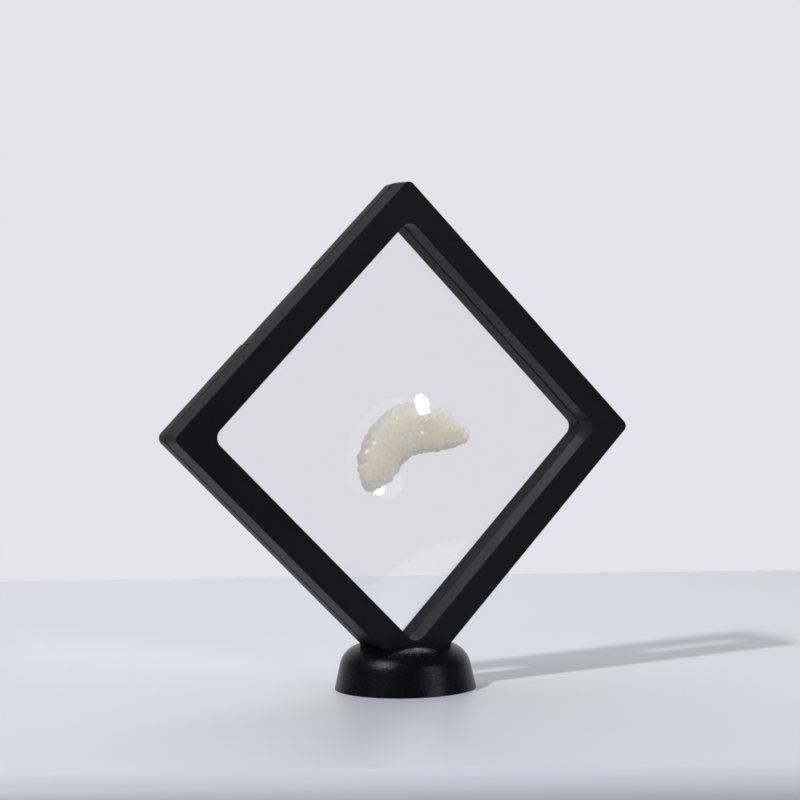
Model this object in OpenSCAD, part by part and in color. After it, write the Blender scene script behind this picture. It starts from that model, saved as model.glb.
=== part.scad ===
// Floating display frame on a round stand.
// Two hinged half frames hold a specimen between two clear films, and the closed frame
// stands on one corner in a pocket of the stand.
// +X is to the right, the front faces -Y and +Z is up. The origin is under the stand's centre.
// The frame's own pieces are drawn lying flat: rear face at z = 0, front face up, hinge at the left.

/* [Frame] */
// Side of the square frame at its front face
frame_side = 110; // [100:1:140]
// Depth of the closed frame, front to back
frame_depth = 15; // [14:0.5:20]
// Width of the border round the window
border_w = 8.7; // [8.5:0.1:12]
// Radius of the frame's outer corners
corner_r = 2.1; // [1.6:0.1:2.6]
// Radius of the window's corners
window_r = 3.3; // [2.4:0.1:4]
// Rounding of the front and rear outer edges
edge_r = 0.5; // [0.3:0.05:0.8]
// How much further out each side lies at the seam than at the front face
seam_flare = 0.4; // [0.2:0.05:0.5]
// How much further out each side lies at the rear face than at the front face
rear_flare = 0.25; // [0.1:0.05:0.3]
// How much the window widens from the front face to the seam, on each side
window_flare = 0.3; // [0.1:0.05:0.5]
// How much further in the window's sides lie at the rear face than at the front face
rear_in = 0.15; // [0:0.05:0.3]
// Chamfer of the window's edges on the two faces
window_soft = 0.25; // [0.15:0.05:0.4]
// Chamfer of the two rims that the films bend over
rim_soft = 0.35; // [0.2:0.05:0.5]
// Wall along the outside of both halves
outer_wall = 1.8; // [1.7:0.05:2.1]
// Wall along the window in both halves
window_wall = 1.6; // [1.2:0.1:2]
// Thickness of the front and rear faces
face_t = 1.6; // [1.2:0.1:1.8]
// Number of stiffening ribs across the channel of each side
ribs_per_side = 4; // [2:1:6]
// Thickness of a stiffening rib
rib_t = 1.2; // [0.8:0.1:1.6]

/* [Seam] */
// Depth of the rear half, to the middle of the seam
rear_depth = 6.25; // [5.8:0.05:7]
// Chamfer of both halves' outer edges along the seam
seam_soft = 0.35; // [0.2:0.05:0.5]

/* [Films] */
// Thickness of each clear film
film_t = 0.2; // [0.15:0.05:0.4]
// Gap between the two films at the border
film_gap = 0.1; // [0.1:0.05:0.3]
// Thickness of the rings that stretch the films
ring_t = 2; // [1.6:0.1:2.2]
// Clearance round each ring in its channel
ring_fit = 0.15; // [0.1:0.05:0.3]
// How far from the specimen's middle line the films still bulge
bulge_reach = 24; // [20:1:28]
// Clearance between each film's bulge and the specimen
bulge_clear = 0.6; // [0.6:0.1:1.2]

/* [Hinge] */
// Length of the tongue that carries the knuckle
tongue_len = 32; // [20:1:44]
// Thickness of the tongue
tongue_t = 1.6; // [1.4:0.05:1.7]
// Radius of the knuckle round the pin
knuckle_r = 1.6; // [1.4:0.05:1.7]
// Diameter of the hinge pin
pin_d = 1.5; // [1.2:0.05:1.7]
// Radial clearance round the pin
pin_fit = 0.04; // [0.02:0.01:0.08]
// Length of each pin seat in the rear half
seat_len = 5; // [3:0.5:7]
// Width of the mouth that the pin is snapped through
mouth_w = 1.2; // [0.9:0.05:1.4]
// Clearance round the tongue and the knuckle
tongue_gap = 0.35; // [0.3:0.05:0.5]

/* [Catch] */
// Length of each snap tab on the side opposite the hinge
tab_len = 8; // [6:1:10]
// Distance of each snap tab from the middle of that side
tab_offset = 26; // [24:1:28]
// Thickness of a snap tab
tab_t = 0.8; // [0.7:0.05:0.9]
// How far a snap tab reaches into the rear half
tab_reach = 2.6; // [2.2:0.1:3]
// Clearance between a snap tab and the rear half
tab_gap = 0.12; // [0.1:0.02:0.2]
// Radius of the bead along a snap tab
bead_r = 0.35; // [0.25:0.05:0.4]
// Length of the thumbnail notch in the middle of that side
notch_len = 12; // [8:1:18]
// Depth of the thumbnail notch
notch_d = 0.9; // [0.6:0.05:1]
// Height of the thumbnail notch
notch_h = 1.8; // [1.2:0.1:2.4]

/* [Specimen] */
// Radius of the crescent's middle line
crescent_r = 22; // [20:1:26]
// Length of the crescent along its middle line
crescent_len = 47; // [36:1:50]
// Greatest width of the crescent
crescent_w = 15.6; // [12:0.2:17]
// Greatest thickness of the crescent
crescent_t = 8; // [6:0.2:8.6]
// Height of the crystal lumps on its surface
lump_h = 0.35; // [0.1:0.05:0.4]
// Turn of the crescent from upright, anticlockwise seen from the front
crescent_turn = 22; // [0:1:40]
// Place of the crescent's middle to the right of the frame's centre
crescent_x = 1; // [-6:0.5:6]
// Place of the crescent's middle above the frame's centre
crescent_z = 0; // [-6:0.5:6]

/* [Stand] */
// Radius of the stand at its foot
stand_r = 22; // [21:0.2:28]
// Height of the stand
stand_h = 13.8; // [12.6:0.2:15]
// Draft of the stand's side from upright, in degrees
stand_draft = 12.5; // [8:0.5:14]
// Radius of the stand's shoulder
shoulder_r = 8; // [6:0.5:9]
// Wall of the stand's shell
stand_wall = 2; // [1.6:0.1:2.4]
// Wall of the pocket under the dome
pocket_wall = 1.4; // [1.2:0.1:1.8]
// Height of the frame's square corner above the table
seat_h = 1.8; // [1.8:0.1:2.6]
// How far the frame stands in front of the stand's middle
frame_ahead = 0.85; // [0:0.05:1.5]
// Clearance between the frame and the pocket
pocket_gap = 0.15; // [0.1:0.05:0.3]
// Thickness of the pocket's floor
floor_t = 1; // [0.8:0.1:1.2]
// Gap between the table and everything inside the foot rim
foot_gap = 0.6; // [0.4:0.1:0.8]
// Number of ribs under the dome
stand_ribs = 6; // [4:2:10]
// Thickness of a rib under the dome
stand_rib_t = 1.4; // [1:0.1:2]

/* [Hidden] */
$fn = 64;

// Cutting shapes run this far past the face that they cut
over = 1;
// Pieces that are fused share this much
bond = 0.2;

frame_z = seat_h + frame_side / sqrt(2);
window_side = frame_side - 2 * border_w;
ring_outer = frame_side - 2 * (outer_wall + ring_fit);
ring_inner = window_side + 2 * (window_wall + ring_fit);

// Heights of the two rims that the films are stretched over, which leave a narrow reveal all round
front_rim_z = rear_depth + film_gap / 2 + film_t;
rear_rim_z = rear_depth - film_gap / 2 - film_t;
rear_ring_z = rear_rim_z - ring_t;
front_ring_z = front_rim_z + ring_t;

// Hinge axis, along the frame's left side
axis_x = -frame_side / 2 - rear_flare + knuckle_r;
axis_z = knuckle_r;
notch_half = tongue_len / 2 + tongue_gap;
seat_end = notch_half + seat_len;
block_w = axis_x + frame_side / 2 + knuckle_r + tongue_gap + outer_wall;

// Snap tabs along the frame's right side, their beads, sunk a little into them, and the notch
tab_x = frame_side / 2 - outer_wall + bond / 4;
tab_z = front_rim_z - tab_reach;
bead_sunk = 0.3;
bead_x = tab_x + tab_t - bead_sunk * bead_r;
bead_z = tab_z + 2 * bead_r;
notch_r = (notch_len * notch_len / 4 + notch_d * notch_d) / (2 * notch_d);

// Half the angle that the crescent spans, and the steps in which the films follow it
crescent_half = crescent_len / crescent_r * 90 / PI;
spine_steps = 12;

// Cells of a film from side to side, their relative size at its middle, its half width inside
// the window, and the strip along the window in which its bulge runs out
film_cells = 16;
film_fine = 0.45;
film_half = window_side / 2 - over;
edge_run = 8;

// How softly the bulge leaves the crown of the specimen and meets the flat film
crown_soft = 1.5;
foot_soft = 2;

// Sections along the crescent, and the sides of each
crescent_sections = 22;
crescent_sides = 16;

// Lumps of the crystal: waves along the crescent, waves round it, and how far these wind round it
lumps_along = 5;
lumps_round = 4;
lump_wind = 260;
lump_start = 120;

black = "#1d1d21";
clear = [0.86, 0.88, 0.9, 0.3];
steel = "#b9bcc0";
mineral = "#bfb8aa";

// Square outline with round corners
module round_square(side, r) {
    square([side, side - 2 * r], center = true);
    square([side - 2 * r, side], center = true);
    for (x = [-1, 1], y = [-1, 1])
        translate([x * (side / 2 - r), y * (side / 2 - r)])
            circle(r);
}

// Flat square block with round corners
module slab(side, r, z0, z1) {
    translate([0, 0, z0])
        linear_extrude(z1 - z0)
            round_square(side, r);
}

// Square block: the section of its side runs along four straight sides and turns round four corners
module sided_block(straight, height) {
    translate([-straight / 2, -straight / 2, 0])
        cube([straight, straight, height]);
    for (turn = [0 : 90 : 270])
        rotate(turn)
            translate([straight / 2, straight / 2, 0]) {
                rotate([90, 0, 0])
                    linear_extrude(straight)
                        children();
                rotate_extrude(angle = 90)
                    children();
            }
}

// Outside of a half, from the seam up to its face, which ends in a rounded edge
module half_block(height, face_flare) {
    face_r = corner_r + face_flare;
    sided_block(frame_side - 2 * corner_r, height) {
        polygon([
            [0, 0],
            [corner_r + seam_flare - seam_soft, 0],
            [corner_r + seam_flare, seam_soft],
            [face_r, height - edge_r],
            [face_r - edge_r, height],
            [0, height]
        ]);
        translate([face_r - edge_r, height - edge_r])
            circle(edge_r, $fn = 32);
    }
}

// Opening of a half's window, from its rim up to its face
module window_block(height, face_in) {
    rim_r = window_r + window_flare;
    face_r = window_r - face_in;
    top = height + 2 * bond;
    translate([0, 0, -bond])
        sided_block(window_side - 2 * window_r, top)
            polygon([
                [0, 0],
                [rim_r + rim_soft, 0],
                [rim_r + rim_soft, bond],
                [rim_r, bond + rim_soft],
                [face_r, bond + height - window_soft],
                [face_r + window_soft, bond + height],
                [face_r + window_soft, top],
                [0, top]
            ]);
}

// Channel that runs round a half between its outer wall and its window wall
module channel(z0, z1) {
    difference() {
        slab(frame_side - 2 * outer_wall, corner_r, z0, z1);
        slab(window_side + 2 * window_wall, window_r, z0 - over, z1 + over);
    }
}

// Stiffening ribs across the channel on all four sides
module ribs(z0, z1) {
    span = window_side / ribs_per_side;
    width = border_w - outer_wall - window_wall + 2 * bond;
    for (turn = [0 : 90 : 270], i = [0 : ribs_per_side - 1])
        rotate(turn)
            translate([window_side / 2 + window_wall - bond, (i + 0.5) * span - window_side / 2, z0])
                translate([0, -rib_t / 2, 0])
                    cube([width, rib_t, z1 - z0]);
}

// Stands the flat frame on its corner in the stand
module in_frame() {
    translate([0, frame_depth / 2 - frame_ahead, frame_z])
        rotate([0, 45, 0])
            rotate([90, 0, 0])
                children();
}

// Extrudes an outline in x and z along the hinge axis
module along_hinge(length) {
    rotate([90, 0, 0])
        linear_extrude(length, center = true)
            children();
}

// Puts a shape in the place of each snap tab
module at_tabs() {
    for (side = [-1, 1])
        translate([0, side * tab_offset, 0])
            children();
}

// Front half: a deep channel, the tongue with the knuckle, and the snap tabs
module front_frame() {
    color(black)
        in_frame()
            difference() {
                union() {
                    front_shell();
                    ribs(front_ring_z, frame_depth - face_t + bond);
                    tongue();
                    at_tabs()
                        snap_tab();
                }
                translate([axis_x, 0, axis_z])
                    rotate([90, 0, 0])
                        cylinder(r = pin_d / 2 + pin_fit, h = tongue_len + 2 * over, center = true);
            }
}

module front_shell() {
    height = frame_depth - front_rim_z;
    difference() {
        translate([0, 0, front_rim_z])
            half_block(height, 0);
        translate([0, 0, front_rim_z])
            window_block(height, 0);
        channel(front_rim_z - over, frame_depth - face_t);
    }
}

// Tongue that reaches to the rear face and ends in a round knuckle
module tongue() {
    along_hinge(tongue_len) {
        translate([axis_x, axis_z])
            circle(knuckle_r);
        polygon([
            [axis_x - knuckle_r, axis_z],
            [-frame_side / 2 - seam_flare, front_rim_z + seam_soft],
            [-frame_side / 2, front_rim_z + seam_soft + bond],
            [-frame_side / 2 + tongue_t, front_rim_z + seam_soft + bond],
            [-frame_side / 2 + tongue_t, axis_z]
        ]);
    }
}

// Tab that reaches into the rear half, with the bead that snaps into its groove
module snap_tab() {
    translate([tab_x, -tab_len / 2, tab_z])
        cube([tab_t, tab_len, tab_reach + bond]);
    translate([bead_x, 0, bead_z])
        rotate([90, 0, 0])
            cylinder(r = bead_r, h = tab_len - 2 * bead_r, center = true, $fn = 24);
}

// Rear half: a shallow channel with the seats of the hinge pin and the recesses for the snap tabs
module rear_frame() {
    color(black)
        in_frame()
            difference() {
                union() {
                    rear_shell();
                    ribs(face_t - bond, rear_ring_z);
                    hinge_block();
                }
                hinge_cuts();
                at_tabs()
                    tab_recess();
                translate([frame_side / 2 + seam_flare + notch_r - notch_d, 0, rear_rim_z - notch_h])
                    cylinder(r = notch_r, h = notch_h + over, $fn = 128);
            }
}

module rear_shell() {
    difference() {
        translate([0, 0, rear_rim_z])
            mirror([0, 0, 1])
                half_block(rear_rim_z, rear_flare);
        translate([0, 0, rear_rim_z])
            mirror([0, 0, 1])
                window_block(rear_rim_z, rear_in);
        channel(face_t, rear_rim_z + over);
    }
}

// Solid stretch of the rear half that holds the pin
module hinge_block() {
    translate([-frame_side / 2 + outer_wall - bond, -seat_end - over, face_t - bond])
        cube([block_w - outer_wall + bond, 2 * (seat_end + over), rear_ring_z - face_t + bond]);
}

// Pocket round the knuckle, and seats and mouths for the pin
module hinge_cuts() {
    left = -frame_side / 2 - over;
    along_hinge(2 * notch_half) {
        translate([axis_x, axis_z])
            circle(knuckle_r + tongue_gap);
        translate([left, -over])
            square([axis_x + knuckle_r + tongue_gap - left, axis_z + over]);
        translate([left, -over])
            square([over + tongue_t + tongue_gap, rear_rim_z + 2 * over]);
    }
    translate([axis_x, 0, axis_z])
        rotate([90, 0, 0])
            cylinder(r = pin_d / 2 + pin_fit, h = 2 * seat_end, center = true);
    translate([axis_x - mouth_w / 2, -seat_end, axis_z])
        cube([mouth_w, 2 * seat_end, rear_rim_z]);
}

// Room for a snap tab in the rear half's outer wall, with the groove for its bead
module tab_recess() {
    wide = tab_len + 2 * tab_gap;
    translate([tab_x - over, -wide / 2, tab_z - tab_gap])
        cube([over + tab_t + tab_gap, wide, tab_reach + over]);
    translate([bead_x, 0, bead_z])
        rotate([90, 0, 0])
            cylinder(r = bead_r + tab_gap, h = tab_len - bead_r, center = true, $fn = 24);
}

// Steel pin with chamfered ends
module hinge_pin() {
    chamfer = pin_d / 5;
    half = seat_end - pin_fit - chamfer;
    color(steel)
        in_frame()
            translate([axis_x, 0, axis_z])
                rotate([90, 0, 0]) {
                    cylinder(d = pin_d, h = 2 * half, center = true);
                    for (end = [0, 1])
                        mirror([0, 0, end])
                            translate([0, 0, half])
                                cylinder(d1 = pin_d, d2 = pin_d - 2 * chamfer, h = chamfer);
                }
}

// Flat ring that draws a film over the window wall
module film_ring(z0) {
    color(black)
        in_frame()
            difference() {
                slab(ring_outer, corner_r, z0, z0 + ring_t);
                slab(ring_inner, window_r, z0 - over, z0 + ring_t + over);
            }
}

module front_film_ring() {
    film_ring(front_rim_z);
}

module rear_film_ring() {
    film_ring(rear_ring_z);
}

// Middle line of the crescent, from -1 at its left tip to 1 at its right tip
function crescent_angle(s) = 90 + crescent_turn - s * crescent_half;
function crescent_centre() = [
    crescent_x - crescent_r * cos(90 + crescent_turn),
    crescent_z - crescent_r * sin(90 + crescent_turn)
];
function crescent_point(s) = crescent_centre()
    + crescent_r * [cos(crescent_angle(s)), sin(crescent_angle(s))];
function taper(s) = sqrt(max(0, 1 - s * s));

// Lift of a film off the seam plane at a place in the window, seen from the front
function fall(d) = pow(1 - pow(min(1, d / bulge_reach), crown_soft), foot_soft);
function at_edge(x, y) = min(1, max(0, (film_half - max(abs(x), abs(y))) / edge_run));
function lift(x, y) = let (place = [x + y, y - x] / sqrt(2))
    at_edge(x, y) * max([
        for (i = [0 : spine_steps])
            let (s = 2 * i / spine_steps - 1)
                let (crown = crescent_t / 2 * taper(s) + lump_h + bulge_clear)
                    crown * fall(norm(place - crescent_point(s)))
    ]);

// Clear film on the front side of the seam plane, a thin sheet with a bulge
module film() {
    film_edge = ring_outer / 2;
    function station(t) = film_half * (film_fine * t + (1 - film_fine) * pow(t, 3));
    stations = concat(
        [-film_edge],
        [for (i = [0 : film_cells]) station(2 * i / film_cells - 1)],
        [film_edge]
    );
    last = len(stations) - 1;
    row = last + 1;
    sheet = row * row;
    points = [
        for (side = [0, 1], x = stations, y = stations)
            [x, y, film_gap / 2 + side * film_t + lift(x, y)]
    ];
    lower = [
        for (i = [0 : last - 1], j = [0 : last - 1], half = [0, 1])
            let (a = i * row + j)
                half == 0 ? [a, a + row, a + 1] : [a + row, a + row + 1, a + 1]
    ];
    upper = [for (f = lower) [f[0] + sheet, f[2] + sheet, f[1] + sheet]];
    border = concat(
        [for (j = [0 : last - 1]) [j, j + 1]],
        [for (i = [0 : last - 1]) [i * row + last, (i + 1) * row + last]],
        [for (j = [last : -1 : 1]) [last * row + j, last * row + j - 1]],
        [for (i = [last : -1 : 1]) [i * row, (i - 1) * row]]
    );
    sides = [
        for (e = border, half = [0, 1])
            half == 0 ? [e[0], e[1], e[1] + sheet] : [e[0], e[1] + sheet, e[0] + sheet]
    ];
    polyhedron(points, concat(lower, upper, sides));
}

module front_film() {
    color(clear)
        in_frame()
            translate([0, 0, rear_depth])
                film();
}

module rear_film() {
    color(clear)
        in_frame()
            translate([0, 0, rear_depth])
                mirror([0, 0, 1])
                    film();
}

// Crescent of crystal druse: tapering sections along the middle line, with lumps
module specimen() {
    sections = crescent_sections;
    sides = crescent_sides;
    function lump(s, a) = lump_h * sin(180 * lumps_along * s + lump_start)
        * cos(lumps_round * a + lump_wind * s);
    function skin(s, a) =
        let (
            t = taper(s),
            out = (crescent_w / 2 * t + lump(s, a)) * cos(a),
            thick = (crescent_t / 2 * t + lump(s, a)) * sin(a),
            ray = [cos(crescent_angle(s)), sin(crescent_angle(s))],
            place = crescent_centre() + (crescent_r + out) * ray
        )
            [place[0], -thick, place[1]];
    stations = [for (i = [1 : sections - 1]) -cos(180 * i / sections)];
    tips = [for (s = [-1, 1]) let (p = crescent_point(s)) [p[0], 0, p[1]]];
    points = concat([for (s = stations, k = [0 : sides - 1]) skin(s, 360 * k / sides)], tips);
    rings = len(stations);
    left_tip = rings * sides;
    right_tip = left_tip + 1;
    end_faces = [
        for (k = [0 : sides - 1])
            let (next = (k + 1) % sides, end = (rings - 1) * sides)
                each [[left_tip, next, k], [right_tip, end + k, end + next]]
    ];
    wall_faces = [
        for (i = [0 : rings - 2], k = [0 : sides - 1])
            let (a = i * sides + k, b = i * sides + (k + 1) % sides)
                each [[a, b, b + sides], [a, b + sides, a + sides]]
    ];
    color(mineral)
        translate([0, frame_depth / 2 - rear_depth - frame_ahead, frame_z])
            polyhedron(points, concat(end_faces, wall_faces));
}

// Half section of the domed stand, without its hollow
module dome_section(r, h, shoulder) {
    centre_x = r - (h - shoulder) * tan(stand_draft) - shoulder / cos(stand_draft);
    polygon([
        [0, 0],
        [r, 0],
        [centre_x + shoulder * cos(stand_draft), h - shoulder + shoulder * sin(stand_draft)],
        [centre_x, h],
        [0, h]
    ]);
    intersection() {
        translate([centre_x, h - shoulder])
            circle(shoulder);
        translate([centre_x, h - shoulder])
            square(shoulder);
    }
}

module dome(inset) {
    rotate_extrude($fn = 128)
        dome_section(stand_r - inset / cos(stand_draft), stand_h - inset, shoulder_r - inset);
}

// Square prism that points down, as the frame's lowest corner does where the frame is widest
module corner_prism(grow) {
    side = stand_h * 2;
    depth = frame_depth + 2 * grow;
    translate([0, -frame_ahead, seat_h - (grow + seam_flare) * sqrt(2)])
        rotate([0, -45, 0])
            translate([0, -depth / 2, 0])
                cube([side, depth, side]);
}

module above(z) {
    reach = 2 * stand_r + 2 * over;
    translate([-reach / 2, -reach / 2, z])
        cube([reach, reach, stand_h * 3]);
}

// Domed shell with a pocket for the frame's corner and ribs underneath
module stand() {
    color(black)
        difference() {
            union() {
                difference() {
                    dome(0);
                    translate([0, 0, -bond])
                        dome(stand_wall);
                }
                intersection() {
                    dome(stand_wall / 2);
                    above(foot_gap);
                    union() {
                        corner_prism(pocket_gap + pocket_wall);
                        for (i = [0 : stand_ribs - 1])
                            rotate(360 * (i + 0.5) / stand_ribs)
                                translate([0, -stand_rib_t / 2, 0])
                                    cube([stand_r, stand_rib_t, stand_h]);
                    }
                }
            }
            intersection() {
                corner_prism(pocket_gap);
                above(foot_gap + floor_t);
            }
        }
}

stand();
rear_frame();
rear_film_ring();
rear_film();
specimen();
hinge_pin();
front_film();
front_film_ring();
front_frame();
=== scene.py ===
"""Looks of a floating display frame.

Two hinged black half frames hold a crescent of crystal druse between two clear films, and the closed
frame stands on one corner in a round stand. All lengths are metres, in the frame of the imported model:
+X to the right, the front faces -Y, +Z up.
"""

import logging
import math
from dataclasses import dataclass
from enum import Enum

import bmesh
import bpy
import numpy as np
from mathutils import Matrix, Vector
from mathutils.bvhtree import BVHTree
from mathutils.kdtree import KDTree


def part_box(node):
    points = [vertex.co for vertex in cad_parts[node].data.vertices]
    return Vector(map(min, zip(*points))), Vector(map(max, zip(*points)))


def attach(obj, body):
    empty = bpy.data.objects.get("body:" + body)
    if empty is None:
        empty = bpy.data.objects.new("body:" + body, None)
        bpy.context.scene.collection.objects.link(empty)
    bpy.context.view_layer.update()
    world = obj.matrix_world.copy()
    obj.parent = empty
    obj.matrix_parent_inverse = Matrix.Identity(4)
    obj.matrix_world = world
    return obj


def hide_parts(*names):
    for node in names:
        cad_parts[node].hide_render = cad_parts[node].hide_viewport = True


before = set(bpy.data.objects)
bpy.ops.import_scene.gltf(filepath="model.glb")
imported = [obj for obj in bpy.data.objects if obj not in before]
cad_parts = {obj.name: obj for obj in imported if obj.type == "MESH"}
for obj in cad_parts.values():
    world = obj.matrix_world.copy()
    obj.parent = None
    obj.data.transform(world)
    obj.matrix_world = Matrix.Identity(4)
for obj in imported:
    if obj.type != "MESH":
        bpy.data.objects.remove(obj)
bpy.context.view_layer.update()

MM = 0.001
LOG = logging.getLogger("floating_frame")


class Body(str, Enum):
    """The bodies that the new pieces move with."""

    REAR = "rear_half"
    FRONT = "front_half"


class Side(Enum):
    """The two sides of the seam plane, as the sign of Y."""

    FRONT = -1
    REAR = 1


def linear(colour: str) -> tuple[float, float, float, float]:
    """Turns an sRGB hex colour to the linear colour that a shader takes.

    Args:
        colour: Six hex digits after a hash sign.

    Returns:
        Linear red, green and blue, and an alpha of 1.
    """
    channels = [int(colour[i:i + 2], 16) / 255 for i in (1, 3, 5)]
    # The curve of the sRGB standard: straight for the darkest tones, a power for the rest.
    red, green, blue = (
        c / 12.92 if c <= 0.04045 else ((c + 0.055) / 1.055) ** 2.4 for c in channels
    )
    return red, green, blue, 1.0


# A Mix node's sockets go by number, because its kinds share their names. Its inputs are the share of the
# second input and then two numbers or two colours. Its outputs are the mixed number and the mixed colour.
SHARE, NUMBER_A, NUMBER_B, COLOUR_A, COLOUR_B = 0, 2, 3, 6, 7
MIXED_NUMBER, MIXED_COLOUR = 0, 2


def add_node(
    tree: bpy.types.NodeTree,
    kind: str,
    settings: dict[str, object] | None = None,
    inputs: dict[str | int, object] | None = None,
) -> bpy.types.Node:
    """Adds a node with its settings, and fills or links its inputs.

    Args:
        tree: The node tree that gets the node.
        kind: Blender's name for the node's type.
        settings: Properties of the node, by name.
        inputs: Values or output sockets for its inputs, by name or number.

    Returns:
        The new node.
    """
    node = tree.nodes.new(kind)
    for name, value in (settings or {}).items():
        setattr(node, name, value)
    for name, value in (inputs or {}).items():
        if isinstance(value, bpy.types.NodeSocket):
            tree.links.new(value, node.inputs[name])
        else:
            node.inputs[name].default_value = value
    return node


def empty_material(name: str) -> bpy.types.Material:
    """Makes a material with a bare node tree.

    Args:
        name: The material's name.

    Returns:
        The material, whose tree has no nodes yet.
    """
    material = bpy.data.materials.new(name)
    material.use_nodes = True
    material.node_tree.nodes.clear()
    return material


def dress(piece: bpy.types.Object, material: bpy.types.Material) -> None:
    """Gives a piece one material in place of what it has.

    Args:
        piece: The object to dress.
        material: Its only material.
    """
    piece.data.materials.clear()
    piece.data.materials.append(material)


def mesh_piece(
    name: str, points: np.ndarray, faces: list[tuple[int, ...]], flat: int = 0,
) -> bpy.types.Object:
    """Makes a mesh object in the scene, with its normals turned outwards.

    Args:
        name: Name of the object and its mesh.
        points: One row of three coordinates for each vertex.
        faces: Vertex numbers of each face.
        flat: How many of the last faces are shaded flat; the others are shaded smoothly.

    Returns:
        The new object.
    """
    mesh = bpy.data.meshes.new(name)
    mesh.from_pydata(points.tolist(), [], faces)
    shape = bmesh.new()
    shape.from_mesh(mesh)
    bmesh.ops.recalc_face_normals(shape, faces=shape.faces)
    shape.to_mesh(mesh)
    shape.free()
    mesh.polygons.foreach_set("use_smooth", [k < len(faces) - flat for k in range(len(faces))])
    piece = bpy.data.objects.new(name, mesh)
    bpy.context.scene.collection.objects.link(piece)
    return piece


def smooth_curve(knots: np.ndarray, values: np.ndarray, at: np.ndarray) -> np.ndarray:
    """Follows values from knot to knot with a curve that has no kinks.

    Args:
        knots: Rising places at which the values are known.
        values: The values there.
        at: Places between the knots to find values for.

    Returns:
        The values at these places.
    """
    slopes = np.gradient(values, knots)
    i = np.clip(np.searchsorted(knots, at) - 1, 0, len(knots) - 2)
    width = knots[i + 1] - knots[i]
    t = (at - knots[i]) / width
    start = (1 + 2 * t) * values[i] + t * width * slopes[i]
    end = (3 - 2 * t) * values[i + 1] - (1 - t) * width * slopes[i + 1]
    return (1 - t) ** 2 * start + t ** 2 * end


@dataclass(frozen=True)
class MouldedPlastic:
    """Black plastic as it leaves the mould.

    The mould's eroded or blasted steel prints a fine grain that breaks the gloss up, and the melt's flow
    leaves broad, faint patches of paler haze.

    Attributes:
        name: Plastic and how its surface was made.
        base: Colour of the plain surface.
        haze: Colour of the palest patches of haze.
        dust: Colour of the few specks of dust on it.
        grain_mm: Width of a grain of the mould's texture.
        grain_depth_mm: Height of a grain.
        haze_mm: Width of a patch of haze.
        roughness: Mean roughness.
        roughness_spread: How far the grain varies it, up and down.
        specular: Specular level; a deep grain traps light and lowers it.
        ior: Index of refraction.
    """

    name: str
    base: str
    haze: str
    dust: str
    grain_mm: float
    grain_depth_mm: float
    haze_mm: float
    roughness: float
    roughness_spread: float
    specular: float
    ior: float

    # Levels of the noise between which haze, grain and dust set in, and how dense the dust gets.
    HAZE_LEVELS = (0.35, 0.7)
    GRAIN_LEVELS = (0.3, 0.7)
    DUST_LEVELS = (0.74, 0.8)
    DUST_COVER = 0.5

    def build(self) -> bpy.types.Material:
        """Makes the material.

        Returns:
            The moulded plastic.
        """
        material = empty_material(self.name)
        tree = material.node_tree
        place = add_node(tree, "ShaderNodeTexCoord").outputs["Object"]
        grain = add_node(
            tree, "ShaderNodeTexNoise",
            inputs={"Vector": place, "Scale": 1 / (self.grain_mm * MM), "Detail": 2.0, "Roughness": 0.6},
        ).outputs["Fac"]
        patches = add_node(
            tree, "ShaderNodeTexNoise",
            inputs={"Vector": place, "Scale": 1 / (self.haze_mm * MM), "Detail": 3.0},
        ).outputs["Fac"]
        haze = add_node(
            tree, "ShaderNodeMapRange",
            inputs={
                "Value": patches, "From Min": self.HAZE_LEVELS[0], "From Max": self.HAZE_LEVELS[1],
            },
        ).outputs["Result"]
        specks = add_node(
            tree, "ShaderNodeMapRange",
            inputs={
                "Value": grain, "From Min": self.DUST_LEVELS[0], "From Max": self.DUST_LEVELS[1],
                "To Max": self.DUST_COVER,
            },
        ).outputs["Result"]
        melt = add_node(
            tree, "ShaderNodeMix", {"data_type": "RGBA"},
            {SHARE: haze, COLOUR_A: linear(self.base), COLOUR_B: linear(self.haze)},
        ).outputs[MIXED_COLOUR]
        colour = add_node(
            tree, "ShaderNodeMix", {"data_type": "RGBA"},
            {SHARE: specks, COLOUR_A: melt, COLOUR_B: linear(self.dust)},
        ).outputs[MIXED_COLOUR]
        roughness = add_node(
            tree, "ShaderNodeMapRange",
            inputs={
                "Value": grain, "From Min": self.GRAIN_LEVELS[0], "From Max": self.GRAIN_LEVELS[1],
                "To Min": self.roughness - self.roughness_spread,
                "To Max": self.roughness + self.roughness_spread,
            },
        ).outputs["Result"]
        bump = add_node(
            tree, "ShaderNodeBump",
            inputs={"Height": grain, "Strength": 1.0, "Distance": self.grain_depth_mm * MM},
        ).outputs["Normal"]
        shader = add_node(
            tree, "ShaderNodeBsdfPrincipled",
            inputs={
                "Base Color": colour, "Roughness": roughness, "Normal": bump,
                "IOR": self.ior, "Specular IOR Level": self.specular,
            },
        )
        add_node(tree, "ShaderNodeOutputMaterial", inputs={"Surface": shader.outputs["BSDF"]})
        return material


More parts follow.
